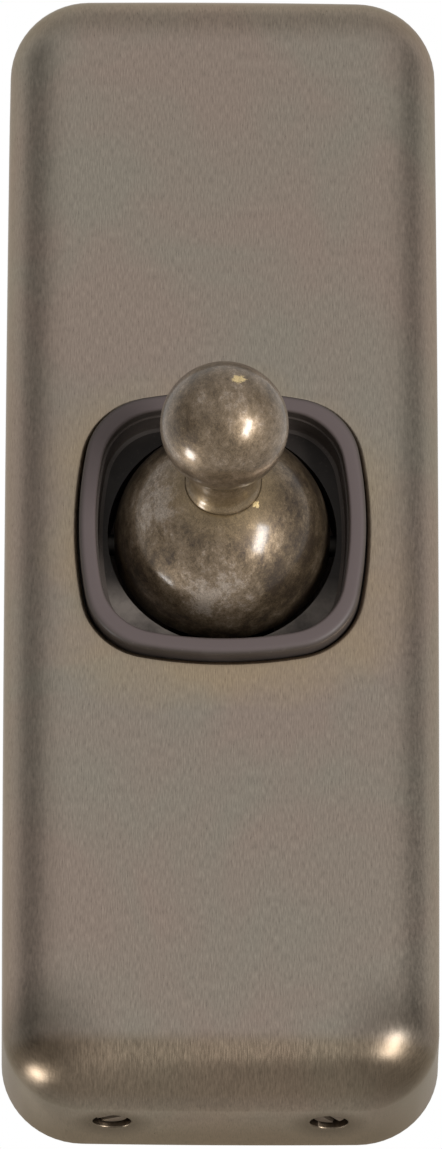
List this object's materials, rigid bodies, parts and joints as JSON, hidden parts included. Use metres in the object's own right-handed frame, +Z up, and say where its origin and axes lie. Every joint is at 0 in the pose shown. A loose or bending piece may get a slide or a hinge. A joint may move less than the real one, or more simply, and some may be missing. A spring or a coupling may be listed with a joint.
{
  "type": "toggle wall switch",
  "caption": "Narrow wall toggle switch: hollow metal cover, moulded square surround and ball-ended dolly that tips a rocker between two contacts.",
  "frame": {"origin": "on the wall plane, behind the middle of the cover and midway between the two wall-fixing holes", "axes": "+X to the right, +Z up the switch, +Y into the wall, so the front faces -Y"},
  "size_m": [0.03, 0.0471, 0.0812],
  "materials": {
    "cover_brass": "brushed, darkened and clear-coated, warmer at the edges",
    "bezel_moulding": "glossy moulded",
    "floor_moulding": "fine matte moulded",
    "housing_moulding": "moulded, satin",
    "base_moulding": "moulded, satin",
    "rivet_brass": "bright",
    "terminal_brass": "machined, bright",
    "dark_steel": "blackened",
    "zinc_steel": "zinc plated",
    "pin_steel": "ground",
    "dolly_brass": "aged and polished, mottled",
    "core_moulding": "moulded",
    "plunger_moulding": "moulded, slippery",
    "spring_steel": "drawn wire",
    "contact_silver": "silver alloy"
  },
  "bodies": {
    "switch": {"front_cover": "cover_brass", "bezel": "bezel_moulding", "housing_front": "floor_moulding", "housing_body": "housing_moulding", "housing_back": "housing_moulding", "housing_rivets": "rivet_brass", "mounting_base": "base_moulding", "screw_inserts": "terminal_brass", "cover_screws": "dark_steel", "mechanism_screws": "zinc_steel", "pivot_pin": "pin_steel", "common_terminal": "terminal_brass", "loop_terminal": "terminal_brass", "upper_terminal": "terminal_brass", "lower_terminal": "terminal_brass", "fixed_contacts": "contact_silver", "terminal_screws": "zinc_steel", "earth_strip": "terminal_brass", "earth_screw": "zinc_steel"},
    "dolly": {"dolly_dome": "dolly_brass", "dolly_knob": "dolly_brass", "dolly_core": "core_moulding"},
    "plunger": {"plunger": "plunger_moulding", "plunger_spring": "spring_steel"},
    "rocker": {"rocker": "terminal_brass", "moving_contacts": "contact_silver"}
  },
  "joints": [
    {"name": "dolly_toggle", "type": "hinge", "parent": "switch", "child": "dolly", "pos_m": [0, -0.0084, 0], "axis": [1, 0, 0], "range_deg": [0, 22]},
    {"name": "plunger_slide", "type": "slide", "parent": "dolly", "child": "plunger", "axis": [0, -0.9816, 0.1908], "range_m": [0, 0.0008], "stiffness_N_per_m": 600, "springref_m": -0.002, "deforming": ["plunger_spring"]},
    {"name": "rocker_tilt", "type": "hinge", "parent": "switch", "child": "rocker", "pos_m": [0, 0.00335, 0], "axis": [1, 0, 0], "range_deg": [-16, 0]}
  ],
  "couplings": [
    {"joint": "rocker_tilt", "follows": "dolly_toggle", "ratio": -0.72727}
  ]
}
